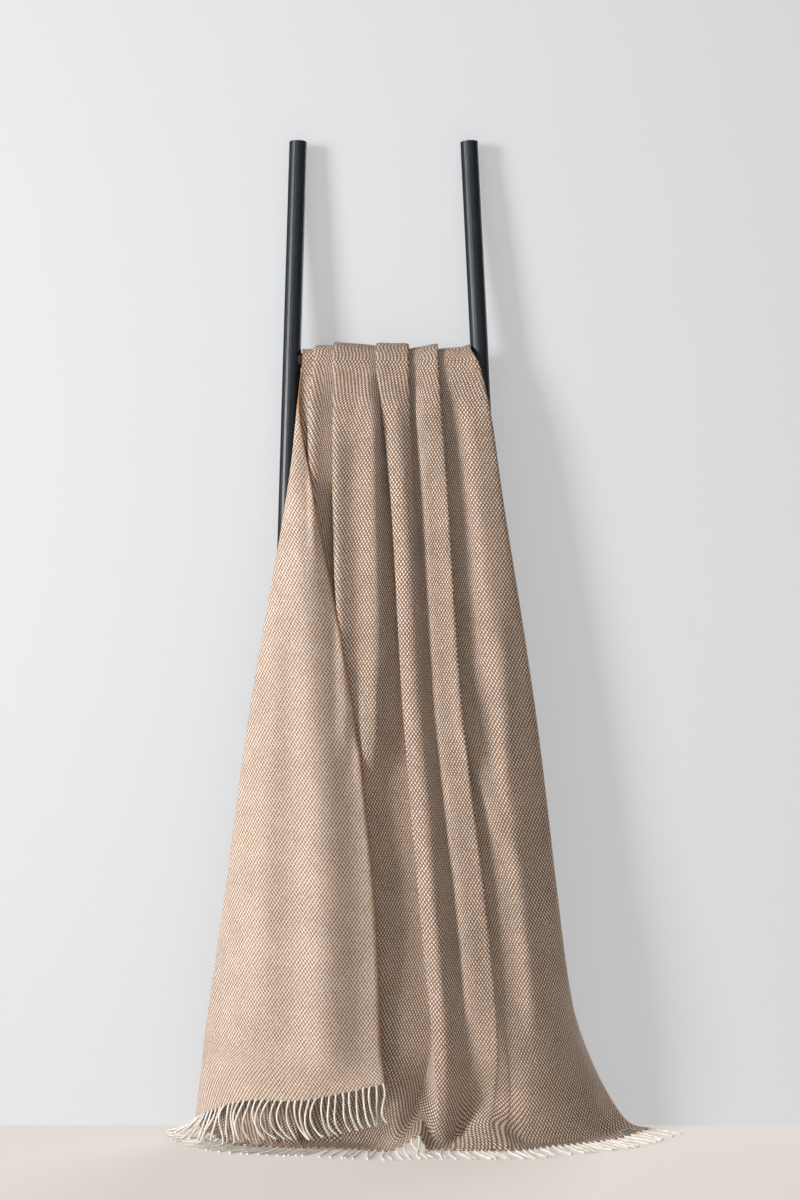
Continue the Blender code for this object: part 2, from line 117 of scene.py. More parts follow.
class Nodes:
    """The nodes of one tree."""

    def __init__(self, tree: bpy.types.NodeTree) -> None:
        """Takes the tree that the nodes go into."""
        self.tree = tree

    def feed(self, socket: bpy.types.NodeSocket, value: Any) -> None:
        """Sets a socket to a value, or links a Value to it."""
        if isinstance(value, Value):
            self.tree.links.new(value.socket, socket)
        else:
            socket.default_value = value

    def node(
        self,
        kind: str,
        settings: dict | None = None,
        inputs: dict | None = None,
        output: int | str = 0,
    ) -> Value:
        """Adds a node.

        Args:
            kind: The node's type.
            settings: Its properties, set first.
            inputs: What its sockets are set to or linked from, by name or number.
            output: Which output to return.

        Returns:
            The chosen output.
        """
        made = self.tree.nodes.new(kind)
        for name, value in (settings or {}).items():
            setattr(made, name, value)
        for name, value in (inputs or {}).items():
            self.feed(made.inputs[name], value)
        return Value(self, made.outputs[output])

    def calculate(self, operation: str, *values: Any) -> Value:
        """Adds a Math node for the operation on the values."""
        return self.node("ShaderNodeMath", {"operation": operation}, dict(enumerate(values)))


class Graph(Nodes):
    """One material's nodes, around a Principled shader."""

    def __init__(self, name: str) -> None:
        """Starts a material of this name."""
        self.material = bpy.data.materials.new(name)
        self.material.use_nodes = True
        super().__init__(self.material.node_tree)
        self.shader = self.tree.nodes["Principled BSDF"]

    def mix(self, share: Any, first: Any, second: Any) -> Value:
        """Blends two colours.

        Args:
            share: How much of the second colour shows.
            first: A colour or a Value that holds one.
            second: A colour or a Value that holds one.

        Returns:
            The blended colour.
        """
        colours = [c if isinstance(c, Value) else (*c, 1) for c in (first, second)]
        inputs = {0: share, 6: colours[0], 7: colours[1]}
        return self.node("ShaderNodeMix", {"data_type": "RGBA"}, inputs, output=2)

    def position(self) -> Value:
        """The place on the object, in metres."""
        return self.node("ShaderNodeTexCoord", output="Object")

    def across_and_along(self) -> tuple[Value, Value]:
        """The two parts of the piece's UV map, in metres of cloth."""
        place = self.node("ShaderNodeUVMap", {"uv_map": "cloth"})
        apart = self.node("ShaderNodeSeparateXYZ", None, {0: place})
        return apart, Value(self, apart.socket.node.outputs[1])

    def noise(self, scale: float, detail: float = 2.0, vector: Value | None = None) -> Value:
        """Noise about 0.5 over a vector, or over the object's own place."""
        inputs = {"Vector": vector or self.position(), "Scale": scale, "Detail": detail}
        return self.node("ShaderNodeTexNoise", None, inputs)

    def bump(self, height: Value, distance: float, strength: float = 1.0) -> None:
        """Raises the surface by the height times the distance, in metres."""
        inputs = {"Height": height, "Distance": distance, "Strength": strength}
        self.feed(self.shader.inputs["Normal"], self.node("ShaderNodeBump", None, inputs))

    def set(self, **sockets: Any) -> None:
        """Sets the shader's sockets, named with underscores for spaces."""
        for name, value in sockets.items():
            value = (*value, 1) if isinstance(value, tuple) and len(value) == 3 else value
            self.feed(self.shader.inputs[name.replace("_", " ")], value)


# --------------------------------------------------------------------- finishes


class Side(Enum):
    """Which side of the cloth a weave shows."""

    FACE = "face"
    REVERSE = "reverse"


# Noise scales, in cells per metre.
FIBRES = 1000
SLUBS = 320
WARP_SWAY = 55
WEFT_SWAY = 70
WEAR = 14
SELVAGE_FIBRES = 700
FRINGE_FIBRES = 1100
FRINGE_TONE = 45
BRUSH_MARKS = 260
PAINT_CLOUDS = 9

SELVAGE_BROWN: Colour = (0.44, 0.23, 0.115)


def darker(colour: Colour, share: float) -> Colour:
    """The colour with only this share of its light."""
    return tuple(part * share for part in colour)


@dataclass(frozen=True)
class BirdsEyeWeave:
    """The brushed weave of cream weft over brown warp: small staggered diamonds.

    The face shows cream dashes on brown, and the reverse brown eyes in a cream net. Cover is the
    level of the pattern above which a point is cream, and softness how far the two yarns blend.
    """

    side: Side
    cream: Colour
    brown: Colour
    cover: float
    pitch: tuple[float, float] = (7.2 * MM, 10.5 * MM)
    selvage_width: float = 4.5 * MM
    cloth_width: float = 1.45
    relief: float = 1.1 * MM
    sway: float = 0.6
    ribbing: float = 0.10
    softness: float = 0.26
    fuzziness: float = 0.9
    unevenness: float = 1.2
    worn_cream: float = 0.90
    worn_brown: float = 0.84
    thread_rise: float = 0.7
    fuzz_rise: float = 0.5

    def build(self) -> bpy.types.Material:
        """Makes the material.

        Returns:
            The weave, patterned over the cloth's own UV map.
        """
        graph = Graph(f"wool_{self.side.value}")
        across, along = graph.across_and_along()
        fuzz = graph.noise(FIBRES, 2)
        uneven = graph.noise(SLUBS, 1)
        column = across * (TAU / self.pitch[0]) + (graph.noise(WARP_SWAY, 1) - 0.5) * self.sway
        row = along * (TAU / self.pitch[1]) + (graph.noise(WEFT_SWAY, 1) - 0.5) * self.sway
        lattice = column.wave() * row.wave()
        rib = (column * 2).wave() * self.ribbing
        level = lattice + rib + (fuzz - 0.5) * self.fuzziness + (uneven - 0.5) * self.unevenness
        thread = level.step(self.cover - self.softness, self.cover + self.softness)
        worn = graph.noise(WEAR, 3)
        cream = graph.mix(worn.step(0.3, 0.7), self.cream, darker(self.cream, self.worn_cream))
        brown = graph.mix(worn.step(0.35, 0.75), self.brown, darker(self.brown, self.worn_brown))
        cloth = graph.mix(thread, brown, cream)
        half = self.cloth_width / 2
        from_middle = (across - half).math("ABSOLUTE")
        edge = from_middle.step(half - self.selvage_width, half - self.selvage_width / 2)
        graph.set(
            Base_Color=graph.mix(edge, cloth, SELVAGE_BROWN),
            Roughness=0.9,
            Sheen_Weight=0.12,
            Sheen_Roughness=0.5,
            Specular_IOR_Level=0.2,
        )
        graph.bump(thread * self.thread_rise + fuzz * self.fuzz_rise, self.relief)
        return graph.material


FACE = BirdsEyeWeave(
    Side.FACE, cream=(0.86, 0.78, 0.70), brown=(0.262, 0.148, 0.084), cover=0.21
)
REVERSE = BirdsEyeWeave(
    Side.REVERSE, cream=(0.82, 0.715, 0.625), brown=(0.34, 0.19, 0.11), cover=-0.06
)


@dataclass(frozen=True)
class SelvageYarn:
    """The brown yarn of the cloth's bound edge, with painted shade in the low places of its fibres."""

    colour: Colour = SELVAGE_BROWN
    # hollows: the share of the colour that the painted shade in the fibres' low places keeps
    hollows: float = 0.75
    relief: float = 0.5 * MM

    def build(self) -> bpy.types.Material:
        """Makes the material."""
        graph = Graph("selvage_yarn")
        fuzz = graph.noise(SELVAGE_FIBRES, 3)
        # Painted shade: the yarn is darker where the fibres' bump is low.
        shade = graph.mix(fuzz.step(0.35, 0.65), darker(self.colour, self.hollows), self.colour)
        graph.set(Base_Color=shade, Roughness=0.92, Sheen_Weight=0.2)
        graph.bump(fuzz, self.relief)
        return graph.material


@dataclass(frozen=True)
class FringeYarn:
    """The cream yarn of the twisted fringe."""

    colour: Colour = (0.96, 0.93, 0.87)
    shade: Colour = (0.80, 0.73, 0.63)
    hollows: float = 0.35
    relief: float = 0.5 * MM

    def build(self) -> bpy.types.Material:
        """Makes the material."""
        graph = Graph("fringe_yarn")
        fuzz = graph.noise(FRINGE_FIBRES, 3)
        tone = graph.noise(FRINGE_TONE, 2)
        yarn = graph.mix(tone.step(0.35, 0.75), self.colour, self.shade)
        yarn = graph.mix(fuzz.step(0.45, 0.75) * self.hollows, yarn, self.shade)
        graph.set(Base_Color=yarn, Roughness=0.9, Sheen_Weight=0.3, Sheen_Roughness=0.5)
        graph.bump(fuzz, self.relief)
        return graph.material


@dataclass(frozen=True)
class WovenTape:
    """A pale woven label with a plain dark bar that narrow gaps break, and painted shade in the low
    cells of its weave.
    """

    ground: Colour = (0.60, 0.49, 0.40)
    bar: Colour = (0.022, 0.020, 0.020)
    bar_ends: tuple[float, float] = (0.12, 0.85)
    bar_sides: tuple[float, float] = (0.16, 0.72)
    end_blur: float = 0.03
    side_blur: tuple[float, float] = (0.06, 0.08)
    gaps: int = 5
    gap_level: tuple[float, float] = (-0.86, -0.74)
    warps: int = 60
    wefts: int = 22
    # hollows: the share of the ground colour that the painted shade in the weave's low cells keeps
    hollows: float = 0.86
    relief: float = 0.15 * MM

    def build(self) -> bpy.types.Material:
        """Makes the material; its UV map runs from 0 to 1 both ways."""
        graph = Graph("label_tape")
        across, along = graph.across_and_along()
        (left, right), (foot, head) = self.bar_ends, self.bar_sides
        inside = across.step(left, left + self.end_blur)
        inside = inside * (1 - across.step(right, right + self.end_blur))
        bars = inside * along.step(foot, foot + self.side_blur[0])
        bars = bars * (1 - along.step(head, head + self.side_blur[1]))
        gap = (across * (TAU * self.gaps)).wave().step(*self.gap_level)
        weave = (across * (TAU * self.warps)).wave() * (along * (TAU * self.wefts)).wave()
        # Painted shade: the ground is darker where the weave's bump is low.
        ground = graph.mix(weave.step(-0.6, 0.6), darker(self.ground, self.hollows), self.ground)
        label = graph.mix(bars * gap, ground, self.bar)
        graph.set(Base_Color=label, Roughness=0.75, Sheen_Weight=0.1)
        graph.bump(weave, self.relief)
        return graph.material


@dataclass(frozen=True)
class SatinPaint:
    """Black satin paint brushed over turned wood."""

    colour: Colour = (0.010, 0.015, 0.021)
    rubbed: Colour = (0.026, 0.034, 0.043)
    stretch: tuple[float, float, float] = (1.0, 1.0, 0.06)
    rubbing: float = 0.6
    roughness: float = 0.30
    cloudy: float = 0.16
    brushed: float = 0.10
    relief: float = 0.25 * MM

    def build(self) -> bpy.types.Material:
        """Makes the material."""
        graph = Graph("black_satin_paint")
        inputs = {"Vector": graph.position(), "Scale": self.stretch}
        grain = graph.noise(BRUSH_MARKS, 4, graph.node("ShaderNodeMapping", None, inputs))
        cloud = graph.noise(PAINT_CLOUDS, 3)
        graph.set(
            Base_Color=graph.mix(grain.step(0.45, 0.8) * self.rubbing, self.colour, self.rubbed),
            Roughness=cloud * self.cloudy + grain * self.brushed + self.roughness,
            Specular_IOR_Level=0.5,
        )
        graph.bump(grain, self.relief, 0.6)
        return graph.material


@dataclass(frozen=True)
class PaleGround:
    """The plain surface of the floor, the backdrop or a side of the room."""

    name: str
    colour: Colour
    one_sided: bool = False
    glow: float = 0.0

    def build(self) -> bpy.types.Material:
        """Makes the material; a one-sided one can't be seen from behind."""
        graph = Graph(self.name)
        graph.set(Base_Color=self.colour, Roughness=0.8, Specular_IOR_Level=0.2)
        graph.set(Emission_Color=self.colour, Emission_Strength=self.glow)
        if self.one_sided:
            behind = graph.node("ShaderNodeNewGeometry", output="Backfacing")
            clear = graph.node("ShaderNodeBsdfTransparent")
            surface = Value(graph, graph.shader.outputs[0])
            both = graph.node("ShaderNodeMixShader", None, {0: behind, 1: surface, 2: clear})
            graph.feed(graph.tree.nodes["Material Output"].inputs["Surface"], both)
        return graph.material


# ------------------------------------------------------------------- the drape

TURN_OUTWARD = 1
TURN_BACK = -1
STATIONS = ("rung", "collar", "chest", "waist", "thigh", "knee", "ankle", "toe", "hem")
HEIGHTS = {
    "rung": 1600,
    "collar": 1500,
    "chest": 1310,
    "waist": 880,
    "thigh": 500,
    "knee": 200,
    "ankle": 60,
}


@dataclass(frozen=True)
class Fold:
    """One fold line of the cloth: (x, out) or (x, out, z) at each station from the rung to the hem.

    turn says which way the cloth travels where it doubles back on itself, and is 0 where it
    doesn't. tip is where the fringe below the line ends. tucked is the weight of the stretch after
    the line when the tucked stretches share whatever of the cloth's width the open faces leave.
    steps is how finely that stretch is divided.
    """

    name: str
    rung: tuple
    collar: tuple
    chest: tuple
    waist: tuple
    thigh: tuple
    knee: tuple
    hem: tuple
    tip: tuple
    ankle: tuple | None = None
    toe: tuple | None = None
    turn: int = 0
    tucked: float = 0.0
    steps: int = 2

    def path(self, ease: float) -> np.ndarray:
        """The line's points, with the ankle and toe spaced evenly where the hem hangs free."""
        points = {}
        for name in STATIONS:
            spot = getattr(self, name)
            if spot is not None:
                spot = (*spot, HEIGHTS[name]) if len(spot) == 2 else spot
                points[name] = np.array(spot, float)
        if self.ankle is None:
            points["ankle"] = (2 * points["knee"] + points["hem"]) / 3
            points["toe"] = (points["knee"] + 2 * points["hem"]) / 3
        points["rung"][1] += ease
        return np.array([points[name] for name in STATIONS])


DRAPE = (
    Fold("free_selvage", rung=(-202, 74), collar=(-208, 93), chest=(-175, 122), waist=(-94, 166),
         thigh=(-50, 203), knee=(-36, 232), hem=(-27, 260, 139), tip=(-20, 264, 60)),
    Fold("lapel_right", rung=(-198, 74), collar=(-211, 91), chest=(-194, 128), waist=(-150, 172),
         thigh=(-120, 214), knee=(-113, 242), hem=(-110, 262, 121), tip=(-98, 268, 43)),
    Fold("lapel_ridge", rung=(-194, 74), collar=(-212, 88), chest=(-214, 128), waist=(-195, 178),
         thigh=(-191, 216), knee=(-190, 245), hem=(-192, 265, 106), tip=(-172, 274, 29)),
    Fold("lapel_left", rung=(-190, 74), collar=(-211, 86), chest=(-227, 121), waist=(-262, 160),
         thigh=(-290, 185), knee=(-310, 205), hem=(-312, 232, 99), tip=(-300, 244, 22)),
    Fold("left_fold_front", rung=(-186, 74), collar=(-208, 84), chest=(-233, 112), waist=(-306, 129),
         thigh=(-357, 127), knee=(-400, 118), hem=(-404, 145, 52), tip=(-446, 130, 4), steps=1),
    Fold("left_fold_back", rung=(-181, 74), collar=(-203, 84), chest=(-230, 103), waist=(-303, 116),
         thigh=(-354, 110), knee=(-397, 100), hem=(-420, 100, 30), tip=(-490, 70, 3)),
    Fold("over_left_rail", rung=(-176, 74), collar=(-196, 85), chest=(-214, 103), waist=(-264, 131),
         thigh=(-302, 152), knee=(-340, 158), ankle=(-352, 144), toe=(-354, 150, 7), hem=(-346, 182, 2),
         tip=(-400, 236, 3)),
    Fold("beside_left_rail", rung=(-170, 73), collar=(-186, 85), chest=(-195, 101), waist=(-236, 133),
         thigh=(-255, 160), knee=(-262, 183), ankle=(-266, 195), toe=(-260, 200, 7), hem=(-254, 214, 2),
         tip=(-296, 282, 3), tucked=0.5),
    Fold("gather_right", rung=(-96, 72.8), collar=(-100, 84), chest=(-112, 98), waist=(-152, 128),
         thigh=(-212, 159), knee=(-240, 178), ankle=(-240, 186), toe=(-234, 192, 6), hem=(-227, 217, 2),
         tip=(-266, 286, 3), turn=TURN_OUTWARD, tucked=0.5),
    Fold("gather_left", rung=(-177, 78.2), collar=(-186, 90), chest=(-192, 108), waist=(-218, 139),
         thigh=(-226, 168), knee=(-213, 188), ankle=(-214, 184), toe=(-208, 188, 6), hem=(-200, 220, 2),
         tip=(-235, 290, 3), turn=TURN_OUTWARD),
    Fold("first_face", rung=(-152, 82), collar=(-163, 93), chest=(-170, 111), waist=(-188, 141),
         thigh=(-188, 170), knee=(-187, 180), ankle=(-186, 164), toe=(-182, 172, 6), hem=(-172, 222, 2),
         tip=(-204, 295, 3), tucked=0.5),
    Fold("first_tuck", rung=(-67, 78.8), collar=(-68, 89), chest=(-74, 105), waist=(-86, 137),
         thigh=(-108, 172), knee=(-130, 182), ankle=(-146, 156), toe=(-143, 166, 6), hem=(-140, 226, 2),
         tip=(-168, 300, 3), turn=TURN_OUTWARD, tucked=1),
    Fold("second_edge", rung=(-137, 86), collar=(-137, 100), chest=(-137, 123), waist=(-124, 156),
         thigh=(-112, 190), knee=(-112, 196), ankle=(-116, 160), toe=(-115, 170, 6), hem=(-112, 230, 2),
         tip=(-136, 306, 3), turn=TURN_OUTWARD),
    Fold("second_crown", rung=(-108, 86.5), collar=(-110, 104), chest=(-110, 128), waist=(-86, 160),
         thigh=(-80, 195), knee=(-74, 202), ankle=(-74, 174), toe=(-74, 184, 6), hem=(-74, 238, 2),
         tip=(-92, 315, 3)),
    Fold("second_fall", rung=(-62, 82.5), collar=(-60, 97), chest=(-58, 119), waist=(-46, 143),
         thigh=(-38, 166), knee=(-8, 206), ankle=(-6, 224), toe=(-14, 238, 14), hem=(-18, 248, 2),
         tip=(-14, 316, 3), tucked=0.5),
    Fold("second_tuck", rung=(-14, 75), collar=(-8, 88), chest=(-2, 97), waist=(18, 132),
         thigh=(52, 160), knee=(66, 184), ankle=(34, 194, 78), toe=(42, 212, 56), hem=(38, 245, 29),
         tip=(44, 292, 5), turn=TURN_OUTWARD, tucked=1),
    Fold("third_edge", rung=(-49, 84), collar=(-37, 102), chest=(-18, 124), waist=(7, 156),
         thigh=(40, 195), knee=(68, 221), ankle=(74, 224), toe=(64, 222, 18), hem=(54, 234, 2),
         tip=(64, 308, 3), turn=TURN_OUTWARD),
    Fold("third_crown", rung=(-16, 86), collar=(-8, 106), chest=(3, 130), waist=(25, 163),
         thigh=(60, 202), knee=(88, 226), ankle=(92, 222), toe=(86, 222, 14), hem=(78, 238, 2),
         tip=(92, 314, 3)),
    Fold("third_edge_right", rung=(17, 83), collar=(19, 101), chest=(24, 124), waist=(45, 155),
         thigh=(80, 193), knee=(108, 216), ankle=(112, 204), toe=(106, 210, 14), hem=(98, 241, 2),
         tip=(116, 316, 3), turn=TURN_BACK, tucked=1),
    Fold("third_tuck", rung=(3, 76), collar=(14, 87), chest=(34, 102), waist=(66, 132),
         thigh=(106, 172), knee=(134, 198), ankle=(136, 182, 78), toe=(126, 200, 24), hem=(118, 243, 2),
         tip=(138, 318, 3), turn=TURN_BACK, tucked=0.5),
    Fold("fourth_face", rung=(45, 79), collar=(50, 93), chest=(66, 106), waist=(94, 140),
         thigh=(136, 181), knee=(162, 204), ankle=(162, 178, 84), toe=(150, 204, 42), hem=(146, 245, 2),
         tip=(168, 320, 3)),
    Fold("fourth_edge", rung=(77, 83), collar=(84, 102), chest=(97, 124), waist=(125, 157),
         thigh=(170, 191), knee=(196, 212), ankle=(190, 186, 80), toe=(182, 210, 50), hem=(184, 246, 2),
         tip=(210, 320, 3), turn=TURN_BACK, tucked=1),
    Fold("fourth_tuck", rung=(30, 72), collar=(44, 85), chest=(74, 99), waist=(112, 134),
         thigh=(168, 174), knee=(214, 204), ankle=(222, 188, 74), toe=(214, 212, 38), hem=(218, 246, 2),
         tip=(246, 318, 3), turn=TURN_BACK, tucked=0.5),
    Fold("fifth_face", rung=(98, 76), collar=(118, 89), chest=(146, 106), waist=(176, 138),
         thigh=(226, 174), knee=(252, 194), ankle=(250, 196), toe=(244, 212, 16), hem=(246, 240, 2),
         tip=(276, 310, 3)),
    Fold("over_right_rail", rung=(130, 79), collar=(156, 91), chest=(180, 107), waist=(220, 136),
         thigh=(262, 162), knee=(290, 178), ankle=(290, 186), toe=(290, 204, 9), hem=(292, 214, 2),
         tip=(318, 284, 3)),
    Fold("right_fold_front", rung=(158, 83), collar=(183, 94), chest=(210, 106), waist=(275, 121),
         thigh=(320, 124), knee=(346, 128), ankle=(348, 156), toe=(354, 174, 8), hem=(360, 186, 2),
         tip=(394, 252, 3), steps=1),
    Fold("right_fold_back", rung=(158, 79), collar=(183, 89), chest=(210, 98), waist=(275, 106),
         thigh=(320, 102), knee=(368, 86), ankle=(404, 110), toe=(418, 130, 8), hem=(434, 146, 2),
         tip=(486, 204, 3), tucked=1),
    Fold("right_selvage", rung=(112, 74), collar=(156, 87), chest=(184, 101), waist=(262, 82),
         thigh=(308, 62), knee=(376, 44), ankle=(441, 42), toe=(480, 42, 12), hem=(523, 42, 2),
         tip=(603, 92, 3)),
)


@dataclass(frozen=True)
class Crease:
    """A soft ridge along the cloth.

    It has a height, a reach to each side, (x, z) points down its crown, and a fade at both ends.
    """

    name: str
    height: float
    left: float
    right: float
    crown: tuple[tuple[float, float], ...]
    fade: float = 110.0

    def lift(self, x: np.ndarray, z: np.ndarray) -> np.ndarray:
        """How far the ridge lifts the cloth outward at each (x, z)."""
        xs, zs = np.array(self.crown[::-1]).T
        aside = x - np.interp(z, zs, xs)
        reach = np.where(aside < 0, self.left, self.right)
        rise = 0.5 + 0.5 * np.cos(math.pi * np.clip(np.abs(aside) / reach, 0, 1))
        ends = np.clip((z - zs[0]) / self.fade, 0, 1) * np.clip((zs[-1] - z) / self.fade, 0, 1)
        return self.height * rise * ends * ends * (3 - 2 * ends)


CREASES = (
    Crease("lapel_crown", 22, 70, 74,
           ((-207, 1400), (-190, 1265), (-162, 820), (-150, 500), (-142, 120))),
    Crease("lapel_left_swell", 8, 34, 40, ((-236, 1160), (-262, 820), (-284, 500), (-300, 180))),
    Crease("lapel_left_edge", 4, 30, 26, ((-232, 1300), (-292, 820), (-335, 400), (-352, 160))),
    Crease("lapel_low_swell", 7, 45, 50, ((-262, 620), (-268, 420), (-262, 190))),
    Crease("first_left", 12, 14, 40, ((-178, 1590), (-180, 1480), (-178, 1340), (-174, 1160))),
    Crease("second_left_edge", 10, 10, 34,
           ((-132, 1500), (-131, 1310), (-122, 1060), (-116, 900), (-116, 760))),
    Crease("second_right_edge", 26, 50, 11,
           ((-50, 1570), (-46, 1310), (-40, 1100), (-42, 930), (-52, 700))),
    Crease("second_inner_pleat", 5, 22, 14, ((-56, 1600), (-64, 1540), (-84, 1470), (-104, 1400)), 40),
    Crease("third_crown", 8, 32, 26,
           ((-14, 1570), (0, 1400), (20, 1150), (36, 900), (58, 700), (74, 500), (92, 220))),
    Crease("third_low", 8, 26, 34, ((52, 640), (66, 480), (86, 300), (98, 120))),
    Crease("fourth_crown", 18, 20, 58,
           ((42, 1570), (48, 1420), (60, 1150), (76, 880), (102, 650), (126, 420), (144, 200))),
    Crease("fifth_crown", 15, 30, 74,
           ((140, 1560), (162, 1320), (192, 1000), (226, 700), (258, 400), (276, 180))),
    Crease("right_drag", 6, 26, 30, ((206, 1120), (214, 880), (206, 700), (190, 560))),
    Crease("right_low_swell", 8, 40, 44, ((300, 560), (318, 400), (322, 240), (330, 90))),
    Crease("waist_drag", 9, 16, 44, ((108, 960), (124, 840), (160, 730), (196, 640), (234, 540)), 90),
)


def unit(vectors: np.ndarray) -> np.ndarray:
    """The vectors at length one."""
    return vectors / np.linalg.norm(vectors, axis=-1, keepdims=True)


def lengths(points: np.ndarray) -> np.ndarray:
    """How far along each line of points (n, ..., 3) its points are."""
    gaps = np.linalg.norm(np.diff(points, axis=0), axis=-1)
    return np.concatenate([np.zeros_like(gaps[:1]), np.cumsum(gaps, axis=0)])


def at_index(line: np.ndarray, index: np.ndarray) -> np.ndarray:
    """The points at these fractional indices into a line (n, 3)."""
    return np.stack([np.interp(index, np.arange(len(line)), line[:, k]) for k in range(3)], axis=1)


def through(points: np.ndarray, steps: Sequence[int]) -> np.ndarray:
    """A smooth curve through points, the centripetal Catmull-Rom one, which makes no loops.

    Args:
        points: The points, along the first axis.
        steps: How many samples each stretch between them gets.

    Returns:
        The samples of every stretch and the last point.
    """
    points = np.asarray(points, float)
    ends = np.concatenate([2 * points[:1] - points[1:2], points, 2 * points[-1:] - points[-2:-1]])
    span = np.sqrt(np.maximum(np.linalg.norm(np.diff(ends, axis=0), axis=-1), 1e-6))
    found = []
    for i, count in enumerate(steps):
        before, start, end, after = ends[i : i + 4]
        knots = [np.zeros_like(span[i])]
        for k in range(3):
            knots.append(knots[-1] + span[i + k])
        t0, t1, t2, t3 = (knot[..., None] for knot in knots)
        for share in np.arange(count) / count:
            t = t1 + (t2 - t1) * share
            a1 = ((t1 - t) * before + (t - t0) * start) / (t1 - t0)
            a2 = ((t2 - t) * start + (t - t1) * end) / (t2 - t1)
            a3 = ((t3 - t) * end + (t - t2) * after) / (t3 - t2)
            b1 = ((t2 - t) * a1 + (t - t0) * a2) / (t2 - t0)
            b2 = ((t3 - t) * a2 + (t - t1) * a3) / (t3 - t1)
            found.append(((t2 - t) * b1 + (t - t1) * b2) / (t2 - t1))
    found.append(points[-1])
    return np.array(found)


# How far the top rung's axis stands out from the wall, and the x of the rails' middle.
RUNG_OUT = 54.93
RAILS_MIDDLE = -13.05


@dataclass(frozen=True)
class Place:
    """Where the tables' zero stands in the model, in metres: x to the right, y at the wall."""

    x: float
    y: float

    @classmethod
    def of_ladder(cls) -> Place:
        """Finds it from the rails and the top rung."""
        left, right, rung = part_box("rail_left"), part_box("rail_right"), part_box("rung_1")
        x = (left[0][0] + right[1][0]) / 2 - RAILS_MIDDLE * MM
        return cls(x, (rung[0][1] + rung[1][1]) / 2 + RUNG_OUT * MM)

    def metres(self, points: Any) -> np.ndarray:
        """Points (x, out, z) in millimetres as places in the model."""
        return np.asarray(points, float) * (MM, -MM, MM) + (self.x, self.y, 0)


